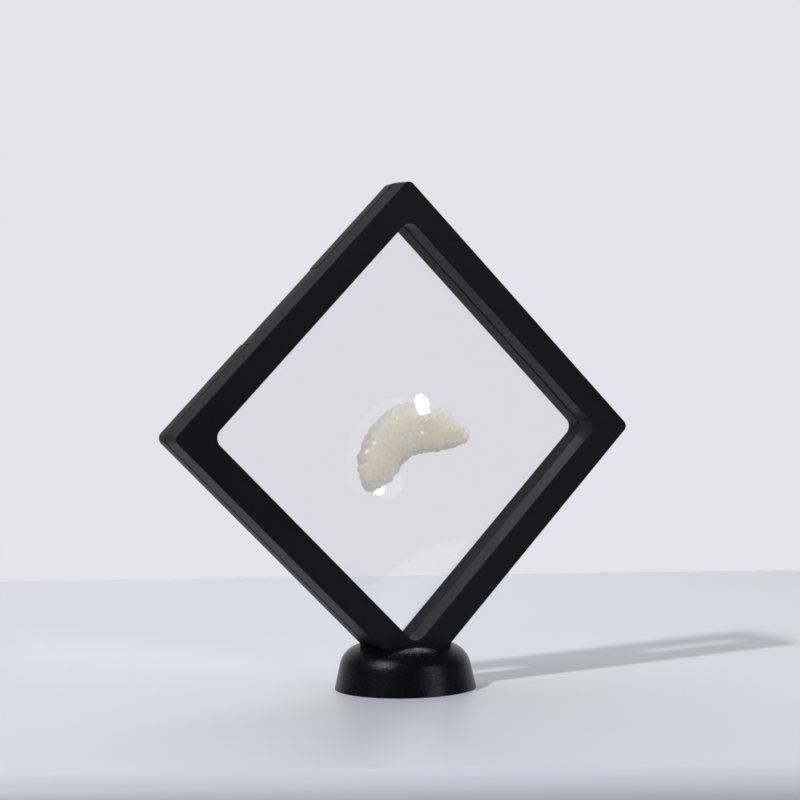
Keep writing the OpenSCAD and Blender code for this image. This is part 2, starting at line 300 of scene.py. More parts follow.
@dataclass(frozen=True)
class CastFilm:
    """Clear elastic silicone film, cast on a polished drum.

    It is all but invisible: a slight grey where it is looked through, and hard white glints where it
    bends. Faint ripples from stretching break the glints' outlines.

    Attributes:
        name: Film and how its surface was made.
        tint: Colour of what it lets through.
        ripple_mm: Width of a ripple.
        ripple_depth_mm: Height of a ripple.
        roughness: Roughness where it is smoothest.
        scuffed: Roughness where it was touched most.
        ior: Index of refraction.
    """

    name: str = "clear_silicone_cast_film"
    tint: str = "#ffffff"
    ripple_mm: float = 3.0
    ripple_depth_mm: float = 0.004
    roughness: float = 0.01
    scuffed: float = 0.04
    ior: float = 1.41

    # Levels of the ripples between which the film goes from smooth to scuffed.
    SCUFF_LEVELS = (0.4, 0.8)

    def build(self) -> bpy.types.Material:
        """Makes the material.

        Returns:
            The clear film.
        """
        material = empty_material(self.name)
        tree = material.node_tree
        place = add_node(tree, "ShaderNodeTexCoord").outputs["Object"]
        ripple = add_node(
            tree, "ShaderNodeTexNoise",
            inputs={"Vector": place, "Scale": 1 / (self.ripple_mm * MM), "Detail": 1.0},
        ).outputs["Fac"]
        roughness = add_node(
            tree, "ShaderNodeMapRange",
            inputs={
                "Value": ripple, "From Min": self.SCUFF_LEVELS[0], "From Max": self.SCUFF_LEVELS[1],
                "To Min": self.roughness, "To Max": self.scuffed,
            },
        ).outputs["Result"]
        bump = add_node(
            tree, "ShaderNodeBump",
            inputs={"Height": ripple, "Strength": 1.0, "Distance": self.ripple_depth_mm * MM},
        ).outputs["Normal"]
        shader = add_node(
            tree, "ShaderNodeBsdfPrincipled",
            inputs={
                "Base Color": linear(self.tint), "Roughness": roughness, "Normal": bump,
                "IOR": self.ior, "Transmission Weight": 1.0,
            },
        )
        add_node(tree, "ShaderNodeOutputMaterial", inputs={"Surface": shader.outputs["BSDF"]})
        return material


@dataclass(frozen=True)
class QuartzDruse:
    """Quartz druse, grown as a crust of small crystals and left raw.

    Light enters the pale crystals and comes back softened and warm. The hollows between them get a painted
    shade, a greyer colour, and the crystal faces are smooth enough to sparkle one by one, while a few
    glassy crystals also get a painted sparkle, a bright cream colour.

    Attributes:
        name: Mineral and how its surface was made.
        hollow: Painted shade between the crystals: a greyer colour where the crust is lowest.
        crystal: Colour of the crystals' faces.
        rim: Colour of the crystals round the rim, which are greyer.
        warm: Colour of the iron-stained patches.
        bright: Painted sparkle of the few clean, glassy crystals: a bright cream colour, besides their
            real gloss.
        stain_mm: Width of a stained patch.
        cloud_mm: Width of a cloud inside the crystals.
        clean: Roughness of a clean crystal face.
        dull: Roughness of a slightly dulled one.
        frosted: Roughness of a frosted one.
        depth_mm: How far light wanders inside, as the shader's scale; it is several times the specimen's
            thickness, so that the whole glows evenly.
        ior: Index of refraction.
    """

    name: str = "quartz_druse_raw"
    hollow: str = "#c8c4b1"
    crystal: str = "#d4cfbb"
    rim: str = "#bfbdad"
    warm: str = "#dcc3a6"
    bright: str = "#fff4de"
    stain_mm: float = 7.0
    cloud_mm: float = 1.2
    clean: float = 0.12
    dull: float = 0.4
    frosted: float = 0.62
    depth_mm: float = 40.0
    ior: float = 1.54

    # Levels of the noise between which stains and frost set in, how far the grey rim reaches inwards, and
    # how far red, green and blue light wander, as shares of the depth.
    STAIN_LEVELS = (0.35, 0.6)
    FROST_LEVELS = (0.35, 0.65)
    RIM_REACH = 0.35
    WANDER = (1.0, 0.9, 0.75)

    def build(self) -> bpy.types.Material:
        """Makes the material.

        Returns:
            The raw druse.
        """
        material = empty_material(self.name)
        tree = material.node_tree
        place = add_node(tree, "ShaderNodeTexCoord").outputs["Object"]
        height = add_node(
            tree, "ShaderNodeAttribute", {"attribute_name": Crescent.HEIGHT},
        ).outputs["Fac"]
        core = add_node(
            tree, "ShaderNodeAttribute", {"attribute_name": Crescent.CORE},
        ).outputs["Fac"]
        glassy = add_node(
            tree, "ShaderNodeAttribute", {"attribute_name": Crescent.GLASSY},
        ).outputs["Fac"]
        stains = add_node(
            tree, "ShaderNodeTexNoise",
            inputs={"Vector": place, "Scale": 1 / (self.stain_mm * MM), "Detail": 3.0},
        ).outputs["Fac"]
        clouds = add_node(
            tree, "ShaderNodeTexNoise",
            inputs={"Vector": place, "Scale": 1 / (self.cloud_mm * MM), "Detail": 3.0},
        ).outputs["Fac"]
        stained = add_node(
            tree, "ShaderNodeMapRange",
            inputs={
                "Value": stains, "From Min": self.STAIN_LEVELS[0], "From Max": self.STAIN_LEVELS[1],
            },
        ).outputs["Result"]
        warmed = add_node(
            tree, "ShaderNodeMath", {"operation": "MULTIPLY"}, {0: stained, 1: core},
        ).outputs["Value"]
        frosted = add_node(
            tree, "ShaderNodeMapRange",
            inputs={
                "Value": clouds, "From Min": self.FROST_LEVELS[0], "From Max": self.FROST_LEVELS[1],
                "To Min": self.dull, "To Max": self.frosted,
            },
        ).outputs["Result"]
        roughness = add_node(
            tree, "ShaderNodeMix", {"data_type": "FLOAT"},
            {SHARE: glassy, NUMBER_A: frosted, NUMBER_B: self.clean},
        ).outputs[MIXED_NUMBER]
        inward = add_node(
            tree, "ShaderNodeMapRange", inputs={"Value": core, "From Max": self.RIM_REACH},
        ).outputs["Result"]
        plain = add_node(
            tree, "ShaderNodeMix", {"data_type": "RGBA"},
            {SHARE: inward, COLOUR_A: linear(self.rim), COLOUR_B: linear(self.crystal)},
        ).outputs[MIXED_COLOUR]
        crust = add_node(
            tree, "ShaderNodeMix", {"data_type": "RGBA"},
            {SHARE: warmed, COLOUR_A: plain, COLOUR_B: linear(self.warm)},
        ).outputs[MIXED_COLOUR]
        # Painted shade: the lower the crust, the more the hollows between the crystals take the greyer
        # hollow colour.
        druse = add_node(
            tree, "ShaderNodeMix", {"data_type": "RGBA"},
            {SHARE: height, COLOUR_A: linear(self.hollow), COLOUR_B: crust},
        ).outputs[MIXED_COLOUR]
        # Painted sparkle: the glassy crystals take a bright cream colour, besides their lower roughness.
        colour = add_node(
            tree, "ShaderNodeMix", {"data_type": "RGBA"},
            {SHARE: glassy, COLOUR_A: druse, COLOUR_B: linear(self.bright)},
        ).outputs[MIXED_COLOUR]
        cloudy = add_node(
            tree, "ShaderNodeMath", {"operation": "SUBTRACT"}, {0: 1.0, 1: glassy},
        ).outputs["Value"]
        shader = add_node(
            tree, "ShaderNodeBsdfPrincipled",
            inputs={
                "Base Color": colour, "Roughness": roughness, "IOR": self.ior,
                "Subsurface Weight": cloudy, "Subsurface Scale": self.depth_mm * MM,
                "Subsurface Radius": self.WANDER,
            },
        )
        add_node(tree, "ShaderNodeOutputMaterial", inputs={"Surface": shader.outputs["BSDF"]})
        return material


@dataclass(frozen=True)
class DrawnSteel:
    """Steel wire, drawn through a die.

    A bright grey metal whose fine lines run along the wire and stretch its highlight across them.

    Attributes:
        name: Metal and how its surface was made.
        bright: Colour of a clean line.
        dull: Colour of a line with some of the drawing soap left in it.
        line_mm: Width of a drawing line, drawn coarser than the real hundredth of a millimetre so that it
            shows.
        run_mm: Length of a drawing line.
        roughness: Mean roughness.
        roughness_spread: How far the lines vary it, up and down.
        tilt: Turn of the wire about Y, from +X.
    """

    name: str = "steel_drawn_wire"
    bright: str = "#c9cbcf"
    dull: str = "#94969a"
    line_mm: float = 0.08
    run_mm: float = 6.0
    roughness: float = 0.3
    roughness_spread: float = 0.08
    tilt: float = math.radians(45)

    def build(self) -> bpy.types.Material:
        """Makes the material.

        Returns:
            The drawn steel.
        """
        material = empty_material(self.name)
        tree = material.node_tree
        place = add_node(tree, "ShaderNodeTexCoord").outputs["Object"]
        along = add_node(
            tree, "ShaderNodeVectorRotate", {"rotation_type": "Y_AXIS"},
            {"Vector": place, "Angle": self.tilt},
        ).outputs["Vector"]
        run, line = 1 / (self.run_mm * MM), 1 / (self.line_mm * MM)
        stretched = add_node(
            tree, "ShaderNodeVectorMath", {"operation": "MULTIPLY"}, {0: along, 1: (run, line, line)},
        ).outputs["Vector"]
        lines = add_node(
            tree, "ShaderNodeTexNoise", inputs={"Vector": stretched, "Scale": 1.0, "Detail": 2.0},
        ).outputs["Fac"]
        colour = add_node(
            tree, "ShaderNodeMix", {"data_type": "RGBA"},
            {SHARE: lines, COLOUR_A: linear(self.dull), COLOUR_B: linear(self.bright)},
        ).outputs[MIXED_COLOUR]
        roughness = add_node(
            tree, "ShaderNodeMapRange",
            inputs={
                "Value": lines,
                "To Min": self.roughness - self.roughness_spread,
                "To Max": self.roughness + self.roughness_spread,
            },
        ).outputs["Result"]
        shader = add_node(
            tree, "ShaderNodeBsdfPrincipled",
            inputs={"Base Color": colour, "Roughness": roughness, "Metallic": 1.0},
        )
        add_node(tree, "ShaderNodeOutputMaterial", inputs={"Surface": shader.outputs["BSDF"]})
        return material


# Black ABS from a spark-eroded mould: a dense, fine matte grain that looks like dark slate. The real
# grain is near 0.1 mm; it is drawn coarser so that it shows.
FRAME_ABS = MouldedPlastic(
    name="black_abs_moulded_matte", base="#09080c", haze="#0d0c12", dust="#34333a",
    grain_mm=0.3, grain_depth_mm=0.05, haze_mm=14.0,
    roughness=0.5, roughness_spread=0.07, specular=0.17, ior=1.54,
)

# Black ABS from a vapour-blasted mould: a smoother satin, with a soft, slightly grainy highlight. The real
# grain is finer than a tenth of a millimetre; it is drawn coarser so that it shows.
STAND_ABS = MouldedPlastic(
    name="black_abs_moulded_satin", base="#050507", haze="#08080b", dust="#2c2c32",
    grain_mm=0.45, grain_depth_mm=0.085, haze_mm=9.0,
    roughness=0.29, roughness_spread=0.05, specular=0.175, ior=1.54,
)

# Black polypropylene from a plain turned mould: even, a little waxy.
RING_PP = MouldedPlastic(
    name="black_polypropylene_moulded_plain", base="#1b1b1d", haze="#242427", dust="#4a4a50",
    grain_mm=0.6, grain_depth_mm=0.008, haze_mm=7.0,
    roughness=0.44, roughness_spread=0.04, specular=0.35, ior=1.49,
)


@dataclass
class HalfFrame:
    """One half of the frame: its moulding and the ring that holds its film.

    Attributes:
        moulding: Name of the moulding's node.
        ring: Name of the ring's node.
    """

    moulding: str
    ring: str

    def dress(self, shell: bpy.types.Material, clamp: bpy.types.Material) -> None:
        """Gives the moulding and the ring their finishes.

        Args:
            shell: Finish of the moulding.
            clamp: Finish of the ring.
        """
        for node, material in ((self.moulding, shell), (self.ring, clamp)):
            dress(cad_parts[node], material)
            LOG.info("%s wears %s", node, material.name)


@dataclass
class Crescent:
    """Specimen: a crescent of druse, as a fine mesh of crystals on a tapering body.

    Attributes:
        centre: Centre of the frame, on the seam plane.
        stations_mm: Places along its middle line from left to right, as X and Z from the centre and
            half the width over the crystals.
        thickness: Greatest thickness of the body under the crystals.
        taper: Power of the width with which the thickness falls towards the tips.
        front_share: Share of the thickness that lies in front of the seam plane.
        flatness: Power of its round section; below 1 its faces are flatter than an ellipse's.
        crust: How far the crystals stand out beyond the body, on average.
        swell: Height of the broad lumps of the body.
        cluster: Mean width of a rounded cluster of crystals.
        cluster_height: Height of the tallest clusters.
        calm: Share by which clusters are lower in the middle of the faces.
        crystal: Mean width of a crystal.
        crystal_height: Height of the tallest crystals.
        glassy: Share of the crystals that are clean and glassy; the finish also gives them a painted
            sparkle.
        sections: Sections along it.
        sides: Points round each section.
        seed: Seed of the crystals' places and shapes.
    """

    centre: Vector
    stations_mm: tuple[tuple[float, float, float], ...] = (
        (-12.0, -17.9, 0.0), (-11.85, -17.6, 0.65), (-11.25, -16.7, 1.8), (-10.45, -14.7, 3.95),
        (-9.1, -12.0, 5.85), (-7.3, -8.7, 6.75), (-4.6, -4.4, 7.4), (-1.0, -1.1, 7.6), (3.5, 0.65, 8.0),
        (8.8, 0.95, 7.35), (12.0, 0.4, 6.85), (15.6, -0.35, 5.8), (18.5, -0.95, 4.7), (20.6, -1.6, 3.4),
        (22.1, -2.1, 2.2), (22.95, -2.3, 1.0), (23.2, -2.35, 0.0),
    )
    thickness: float = 7.4 * MM
    taper: float = 0.4
    front_share: float = 0.41
    flatness: float = 0.6
    crust: float = 0.45 * MM
    swell: float = 0.18 * MM
    cluster: float = 2.4 * MM
    cluster_height: float = 1.0 * MM
    calm: float = 0.6
    crystal: float = 0.8 * MM
    crystal_height: float = 0.26 * MM
    glassy: float = 0.009
    sections: int = 330
    sides: int = 190
    seed: int = 11

    # Names of the shades that the finish reads at each point, and their level at the two tips.
    HEIGHT = "crystal_height"
    CORE = "crystal_core"
    GLASSY = "crystal_glassy"
    TIP_SHADE = 0.5

    # Broad lumps, with angles in radians: how far their waves run over half the body and where they start,
    # how many go round it, how far they twist over half of it, and the power with which they die away at
    # the tips.
    LUMPS_ALONG = 9.1
    LUMPS_START = 2.0
    LUMPS_ROUND = 3
    LUMPS_TWIST = 5.4
    LUMPS_FADE = 8

    # Least distance between crystals or clusters, in mean widths, and how many reach any one point.
    SPACING = 0.72
    NEIGHBOURS = 6

    # Clusters: height of the lowest as a share of the tallest, and how steeply they round off.
    CLUSTER_LEAST = 0.4
    CLUSTER_FALL = 2.5

    # Crystals: height of the lowest as a share of the tallest, the power that makes short ones common,
    # depth of the hollows as such a share, and the number, scatter and slopes of the facets.
    CRYSTAL_LEAST = 0.35
    CRYSTAL_POWER = 1.3
    HOLLOW = 0.5
    FACETS = 5
    FACET_SCATTER = 0.7
    FACET_SLOPES = (0.15, 0.55)

    def body(self) -> tuple[np.ndarray, np.ndarray, np.ndarray]:
        """Points of the bare body, its normals, and how near each point is to the middle of its face.

        Returns:
            Two arrays of sections by sides by three coordinates, and one of sections by sides.
        """
        knots = np.array(self.stations_mm) * MM
        steps = np.linalg.norm(np.diff(knots[:, :2], axis=0), axis=1)
        run = np.concatenate(([0.0], np.cumsum(steps)))
        at = run[-1] * (1 - np.cos(np.pi * np.arange(1, self.sections) / self.sections)) / 2
        line = np.stack([smooth_curve(run, knots[:, i], at) for i in (0, 1)], axis=-1)
        width = np.sqrt(np.maximum(smooth_curve(run, knots[:, 2] ** 2, at), 0))
        line, width = line[width > self.crust], width[width > self.crust] - self.crust
        thick = self.thickness * (width / width.max()) ** self.taper
        ahead = np.gradient(line, axis=0)
        ahead /= np.linalg.norm(ahead, axis=1, keepdims=True)
        s, a = np.meshgrid(
            np.linspace(-1, 1, len(width)), 2 * np.pi * np.arange(self.sides) / self.sides, indexing="ij",
        )
        waves = np.sin(self.LUMPS_ALONG * s + self.LUMPS_START)
        turned = np.cos(self.LUMPS_ROUND * a + self.LUMPS_TWIST * s)
        lump = self.swell * waves * turned * (1 - s ** self.LUMPS_FADE)
        out = width[:, None] * np.cos(a) + lump * np.cos(a)
        share = np.where(np.sin(a) > 0, self.front_share, 1 - self.front_share)
        flat = np.sign(np.sin(a)) * np.abs(np.sin(a)) ** self.flatness
        forward = thick[:, None] * share * flat + lump * np.sin(a)
        points = np.stack([
            self.centre.x + line[:, None, 0] - ahead[:, None, 1] * out,
            self.centre.y - forward,
            self.centre.z + line[:, None, 1] + ahead[:, None, 0] * out,
        ], axis=-1)
        along = np.gradient(points, axis=0)
        round_it = np.roll(points, -1, axis=1) - np.roll(points, 1, axis=1)
        normals = np.cross(along, round_it)
        outward = points - points.mean(axis=1, keepdims=True)
        normals *= np.sign(np.sum(normals * outward, axis=-1, keepdims=True))
        normals /= np.linalg.norm(normals, axis=-1, keepdims=True)
        return points, normals, 1 - np.abs(np.cos(a))

    def seeds(self, points: np.ndarray, width: float, draw: np.random.Generator) -> np.ndarray:
        """Picks places for crystals or clusters, spread evenly over the body.

        Args:
            points: Points of the body, one in a row.
            width: Mean width of what grows there.
            draw: Source of the random order.

        Returns:
            Numbers of the points that were picked.
        """
        cells: dict[tuple[int, int, int], list[np.ndarray]] = {}
        least = self.SPACING * width
        chosen = []
        for number in draw.permutation(len(points)):
            place = points[number]
            cell = tuple(np.floor(place / width).astype(int))
            near = [
                other
                for dx in (-1, 0, 1) for dy in (-1, 0, 1) for dz in (-1, 0, 1)
                for other in cells.get((cell[0] + dx, cell[1] + dy, cell[2] + dz), ())
            ]
            if all(np.linalg.norm(place - other) > least for other in near):
                cells.setdefault(cell, []).append(place)
                chosen.append(number)
        return np.array(chosen)

    def nearest(self, points: np.ndarray, chosen: np.ndarray) -> np.ndarray:
        """Finds the picked places that are nearest to each point.

        Args:
            points: Points of the body, one in a row.
            chosen: Numbers of the points that were picked.

        Returns:
            For each point a row of places in the list of picks, nearest first.
        """
        tree = KDTree(len(chosen))
        for number, place in enumerate(points[chosen]):
            tree.insert(place, number)
        tree.balance()
        return np.array([[hit[1] for hit in tree.find_n(p, self.NEIGHBOURS)] for p in points])

    def clusters(self, points: np.ndarray, draw: np.random.Generator) -> np.ndarray:
        """Height of the rounded clusters that the crystals grow in, which scallop the outline.

        Args:
            points: Points of the body, one in a row.
            draw: Source of the random places and heights.

        Returns:
            The height at each point.
        """
        chosen = self.seeds(points, self.cluster, draw)
        tops = self.cluster_height * draw.uniform(self.CLUSTER_LEAST, 1.0, len(chosen))
        near = self.nearest(points, chosen)
        reach = np.linalg.norm(points[:, None] - points[chosen][near], axis=2) / self.cluster
        return np.max(tops[near] - self.CLUSTER_FALL * self.cluster_height * reach ** 2, axis=1)

    def crystals(
        self, points: np.ndarray, normals: np.ndarray, draw: np.random.Generator,
    ) -> tuple[np.ndarray, np.ndarray]:
        """Height of the crystals, and which of them are glassy.

        Args:
            points: Points of the body, one in a row.
            normals: Their normals.
            draw: Source of the random places and shapes.

        Returns:
            The height at each point, of the highest crystal that reaches it, and 1 where that one is
            glassy.
        """
        chosen = self.seeds(points, self.crystal, draw)
        count = len(chosen)
        LOG.info("specimen has %d crystals", count)
        across = np.cross(normals[chosen], draw.normal(size=(count, 3)))
        across /= np.linalg.norm(across, axis=1, keepdims=True)
        over = np.cross(normals[chosen], across)
        tops = self.crystal_height * draw.uniform(self.CRYSTAL_LEAST, 1.0, count) ** self.CRYSTAL_POWER
        scatter = draw.uniform(0, self.FACET_SCATTER, (count, self.FACETS))
        turns = 2 * np.pi * (np.arange(self.FACETS) + scatter) / self.FACETS
        slopes = draw.uniform(*self.FACET_SLOPES, (count, self.FACETS))
        glassy = (draw.uniform(size=count) < self.glassy).astype(float)
        near = self.nearest(points, chosen)
        crust = np.full(len(points), -self.HOLLOW * self.crystal_height)
        shine = np.zeros(len(points))
        for rank in range(self.NEIGHBOURS):
            which = near[:, rank]
            away = points - points[chosen][which]
            u = np.sum(away * across[which], axis=1)[:, None]
            v = np.sum(away * over[which], axis=1)[:, None]
            drop = slopes[which] * (u * np.cos(turns[which]) + v * np.sin(turns[which]))
            height = tops[which] - drop.max(axis=1)
            shine = np.where(height > crust, glassy[which], shine)
            crust = np.maximum(crust, height)
        return crust, shine

    def build(self, material: bpy.types.Material) -> bpy.types.Object:
        """Builds the specimen in place of its plain solid.

        Args:
            material: Finish of the druse.

        Returns:
            The specimen.
        """
        points, normals, core = self.body()
        rings = points.shape[0]
        points, normals = points.reshape(-1, 3), normals.reshape(-1, 3)
        draw = np.random.default_rng(self.seed)
        domes = self.clusters(points, draw)
        crust, shine = self.crystals(points, normals, draw)
        core = core.ravel()
        points = points + normals * (domes * (1 - self.calm * core) + crust)[:, None]
        tips = np.stack([points[:self.sides].mean(axis=0), points[-self.sides:].mean(axis=0)])
        first, last = len(points), len(points) + 1
        end = (rings - 1) * self.sides
        faces: list[tuple[int, ...]] = []
        for k in range(self.sides):
            after = (k + 1) % self.sides
            faces.append((first, k, after))
            faces.append((last, end + after, end + k))
            for i in range(0, end, self.sides):
                faces.append((i + k, i + self.sides + k, i + after))
                faces.append((i + after, i + self.sides + k, i + self.sides + after))
        piece = mesh_piece("specimen_druse", np.vstack([points, tips]), faces)
        shades = {self.HEIGHT: (crust - crust.min()) / np.ptp(crust), self.CORE: core, self.GLASSY: shine}
        for name, shade in shades.items():
            values = np.append(shade, (self.TIP_SHADE, self.TIP_SHADE))
            piece.data.attributes.new(name, "FLOAT", "POINT").data.foreach_set("value", values)
        dress(piece, material)
        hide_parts("specimen")
        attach(piece, Body.REAR.value)
        LOG.info("specimen built with %d faces", len(faces))
        return piece


@dataclass
class Film:
    """One clear film: a fine sheet, stretched over its rim and drawn over the specimen.

    Attributes:
        side: The side of the seam plane that it bulges to.
        node: Name of its plain solid.
        carrier: Name of the moulding that it is stretched over; not used.
        body: Body that it moves with.
        centre: Centre of the frame, on the seam plane.
        edge: Half the side of the square sheet.
        taut: Half the side of the square where it is free of the window wall.
        gap: Distance from the seam plane to its flat part, a hair less than the solid's, so that the sheet
            and the rim under it don't share a plane.
        thickness: Thickness of the sheet.
        clear: Room that it leaves over the crystals.
        evening: Rounds of evening out the peaks of the crystals under it.
        cells: Cells from side to side of its free part.
        coarse: Cells that are taken together in the first, coarse stretch.
        rounds: Rounds of stretching, coarse and fine.
    """

    side: Side
    node: str
    carrier: str
    body: Body
    centre: Vector
    edge: float = 53.05 * MM
    taut: float = 46.9 * MM
    gap: float = 0.04 * MM
    thickness: float = 0.2 * MM
    clear: float = 0.12 * MM
    evening: int = 3
    cells: int = 150
    coarse: int = 5
    rounds: tuple[int, int] = (900, 500)

    def stations(self) -> np.ndarray:
        """Places of the free part's points along one side."""
        return np.linspace(-self.taut, self.taut, self.cells + 1)

    def spread(self, stations: np.ndarray) -> tuple[np.ndarray, np.ndarray]:
        """Places of a square of points on the frame's own sides, seen from the front.

        Args:
            stations: Places along one side.

        Returns:
            X and Z of each point, as two square arrays.
        """
        a, b = np.meshgrid(stations, stations, indexing="ij")
        return self.centre.x + (a + b) / math.sqrt(2), self.centre.z + (b - a) / math.sqrt(2)

    def rest(self, specimen: bpy.types.Object) -> np.ndarray:
        """Height of the specimen under each point of the free part.

        Args:
            specimen: The specimen that the film is drawn over.

        Returns:
            A square array of heights off the seam plane, 0 beside the specimen.
        """
        mesh = specimen.data
        tree = BVHTree.FromPolygons([v.co for v in mesh.vertices], [p.vertices for p in mesh.polygons])
        x, z = self.spread(self.stations())
        outside = self.centre.y + self.side.value * self.edge
        aim = Vector((0, -self.side.value, 0))
        heights = np.zeros_like(x)
        for place in np.ndindex(x.shape):
            hit = tree.ray_cast(Vector((x[place], outside, z[place])), aim)[0]
            if hit is not None:
                heights[place] = self.side.value * (hit.y - self.centre.y) + self.clear
        return np.maximum(heights, 0)

    @staticmethod
    def smoothed(heights: np.ndarray, rounds: int) -> np.ndarray:
        """Evens heights out between neighbours.

        Args:
            heights: A square array.
            rounds: How often each point takes the mean of its neighbours.

        Returns:
            The evened heights.
        """
        for _ in range(rounds):
            wide = np.pad(heights, 1, mode="edge")
            heights = (wide[:-2, 1:-1] + wide[2:, 1:-1] + wide[1:-1, :-2] + wide[1:-1, 2:]) / 4
        return heights

    @staticmethod
    def stretched(start: np.ndarray, floor: np.ndarray, rounds: int) -> np.ndarray:
        """Pulls a film taut over what it rests on, held at its border.

        Args:
            start: Heights to start from.
            floor: Heights that it can't sink below.
            rounds: Rounds of pulling.

        Returns:
            The taut film's heights.
        """
        lift = np.maximum(start, floor)
        for _ in range(rounds):
            pulled = (lift[:-2, 1:-1] + lift[2:, 1:-1] + lift[1:-1, :-2] + lift[1:-1, 2:]) / 4
            lift[1:-1, 1:-1] = np.maximum(pulled, floor[1:-1, 1:-1])
        return lift

    def lift(self, specimen: bpy.types.Object) -> np.ndarray:
        """Heights of the taut film over the specimen.

        Args:
            specimen: The specimen that the film is drawn over.

        Returns:
            A square array of heights off the seam plane.
        """
        floor = self.rest(specimen)
        peaks = np.max([
            np.roll(floor, (i, j), axis=(0, 1)) for i in (-1, 0, 1) for j in (-1, 0, 1)
        ], axis=0)
        floor = self.smoothed(peaks, self.evening)
        few = floor[::self.coarse, ::self.coarse]
        few = self.stretched(np.zeros_like(few), few, self.rounds[0])
        all_places = np.arange(self.cells + 1)
        few_places = all_places[::self.coarse]
        rows = np.array([np.interp(all_places, few_places, row) for row in few])
        start = np.array([np.interp(all_places, few_places, column) for column in rows.T]).T
        return self.stretched(start, floor, self.rounds[1])

    def build(self, specimen: bpy.types.Object, material: bpy.types.Material) -> bpy.types.Object:
        """Builds the film in place of its plain solid.

        Args:
            specimen: The specimen that the film is drawn over.
            material: Finish of the film.

        Returns:
            The film.
        """
        lift = np.pad(self.lift(specimen), 1)
        stations = np.concatenate(([-self.edge], self.stations(), [self.edge]))
        x, z = self.spread(stations)
        row = len(stations)
        sheet = row * row
        layers = [
            np.stack([x, self.centre.y + self.side.value * (self.gap + lift + skin), z], axis=-1)
            for skin in (0.0, self.thickness)
        ]
        cells = [i * row + j for i in range(row - 1) for j in range(row - 1)]
        inner = [(a, a + 1, a + row + 1, a + row) for a in cells]
        outer = [(a + sheet, a + row + sheet, a + row + 1 + sheet, a + 1 + sheet) for a in cells]
        ends = sheet - row
        rim = [(k, k + 1) for k in range(row - 1)]
        rim += [(k * row + row - 1, (k + 1) * row + row - 1) for k in range(row - 1)]
        rim += [(ends + k + 1, ends + k) for k in range(row - 1)]
        rim += [((k + 1) * row, k * row) for k in range(row - 1)]
        border = [(p, q, q + sheet, p + sheet) for p, q in rim]
        points = np.vstack([layer.reshape(-1, 3) for layer in layers])
        piece = mesh_piece(f"{self.node}_sheet", points, inner + outer + border, flat=len(border))
        dress(piece, material)
        # So clear a film throws no shadow to speak of; the renderer would give it a dark one.
        piece.visible_shadow = False
        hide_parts(self.node)
        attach(piece, self.body.value)
        LOG.info("%s built, %.1f mm proud of the seam", self.node, lift.max() / MM)
        return piece


@dataclass
class PhotoCamera:
    """Camera at the viewing angle, solved from the frame's straight edges.

    Attributes:
        target: Centre of the frame.
        place_mm: Camera's place, measured from that centre.
        yaw: Turn of the view to the right of +Y.
        pitch: Tilt of the view below the horizon.
        roll: Turn of the camera about its view, clockwise.
        lens_mm: Focal length.
        sensor_mm: Width of the square sensor.
    """

    target: Vector
    place_mm: tuple[float, float, float] = (-277.85, -568.07, 20.3)
    yaw: float = math.radians(26.0)
    pitch: float = math.radians(0.946)
    roll: float = math.radians(0.866)
    lens_mm: float = 91.74
    sensor_mm: float = 36.0

    def build(self) -> bpy.types.Object:
        """Makes the scene's camera.

        Returns:
            The camera.
        """
        data = bpy.data.cameras.new("photo_camera")
        data.lens = self.lens_mm
        data.sensor_width = self.sensor_mm
        camera = bpy.data.objects.new("photo_camera", data)
        upright = Matrix.Rotation(math.pi / 2, 4, "X")
        view = (
            Matrix.Rotation(-self.yaw, 4, "Z") @ upright
            @ Matrix.Rotation(-self.pitch, 4, "X") @ Matrix.Rotation(-self.roll, 4, "Z")
        )
        camera.matrix_world = Matrix.Translation(self.target + Vector(self.place_mm) * MM) @ view
        bpy.context.scene.collection.objects.link(camera)
        bpy.context.scene.camera = camera
        return camera


@dataclass
class Lamp:
    """One round studio lamp.

    Attributes:
        name: The lamp's name.
        direction: Direction from the object to the lamp.
        distance: Distance from the object.
        size: Diameter of its diffuser.
        power: Power in watts.
        colour: Colour of its light.
        mirrored: Whether it shows in glossy surfaces.
    """

    name: str
    direction: Vector
    distance: float
    size: float
    power: float
    colour: str
    mirrored: bool = True

    def build(self, target: Vector) -> bpy.types.Object:
        """Puts the lamp up.

        Args:
            target: Point that it shines at.

        Returns:
            The lamp.
        """
        data = bpy.data.lights.new(self.name, "AREA")
        data.shape = "DISK"
        data.size = self.size
        data.energy = self.power
        data.color = linear(self.colour)[:3]
        lamp = bpy.data.objects.new(self.name, data)
        away = self.direction.normalized()
        aim = away.to_track_quat("Z", "Y").to_matrix().to_4x4()
        lamp.matrix_world = Matrix.Translation(target + away * self.distance) @ aim
        lamp.visible_glossy = self.mirrored
        bpy.context.scene.collection.objects.link(lamp)
        return lamp


